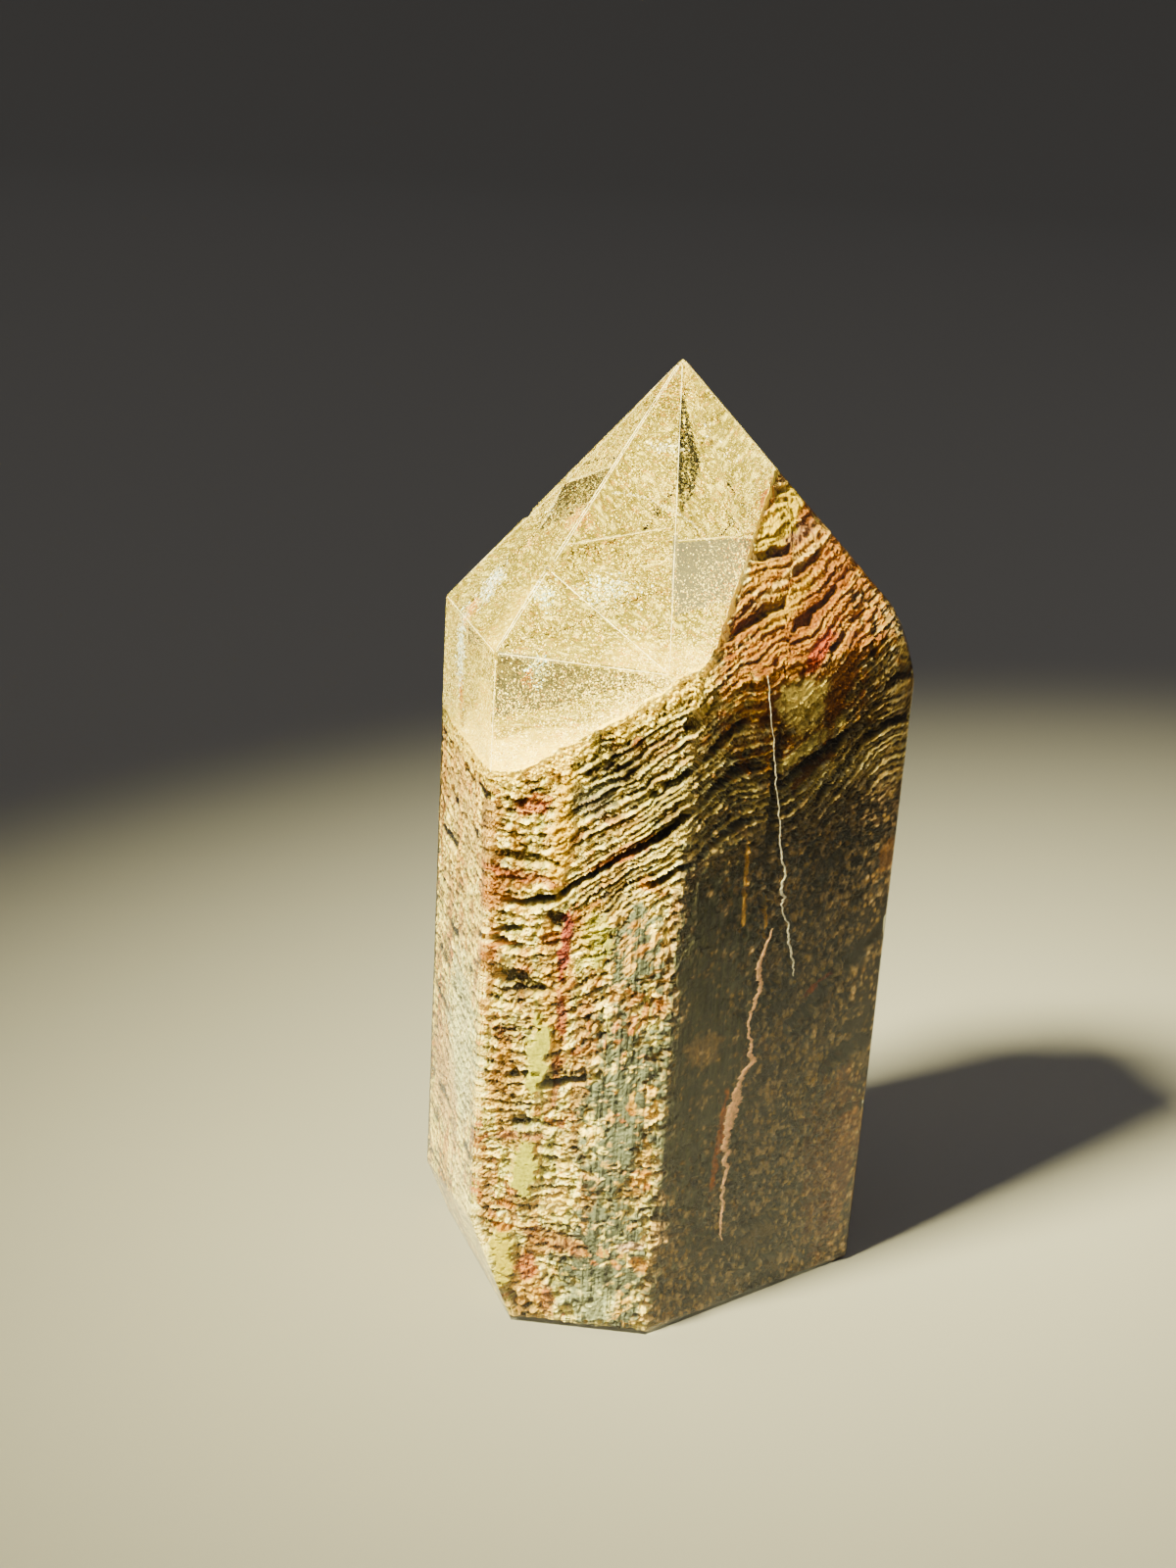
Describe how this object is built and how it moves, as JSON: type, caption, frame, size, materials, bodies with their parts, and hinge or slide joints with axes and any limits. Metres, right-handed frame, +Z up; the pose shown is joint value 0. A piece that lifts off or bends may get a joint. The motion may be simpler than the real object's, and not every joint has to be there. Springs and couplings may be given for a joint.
{
  "type": "garden quartz point",
  "caption": "Polished standing quartz tower: a six-sided prism with a sloping pointed top, clear at the tip and filled with layered mineral inclusions below.",
  "frame": {"origin": "middle of the foot, on the flat that the crystal stands on", "axes": "+Z up from the foot to the tip, -Y towards the front, +X to the right as the picture sees it"},
  "size_m": [0.0419, 0.0374, 0.0848],
  "materials": {
    "quartz": "polished clear quartz with a warm smoky cast",
    "inclusions": "matt mineral inclusions: cream, grey-green, rust and pink layers"
  },
  "bodies": {
    "root": {"quartz_point": "quartz", "garden": "inclusions"}
  },
  "joints": []
}
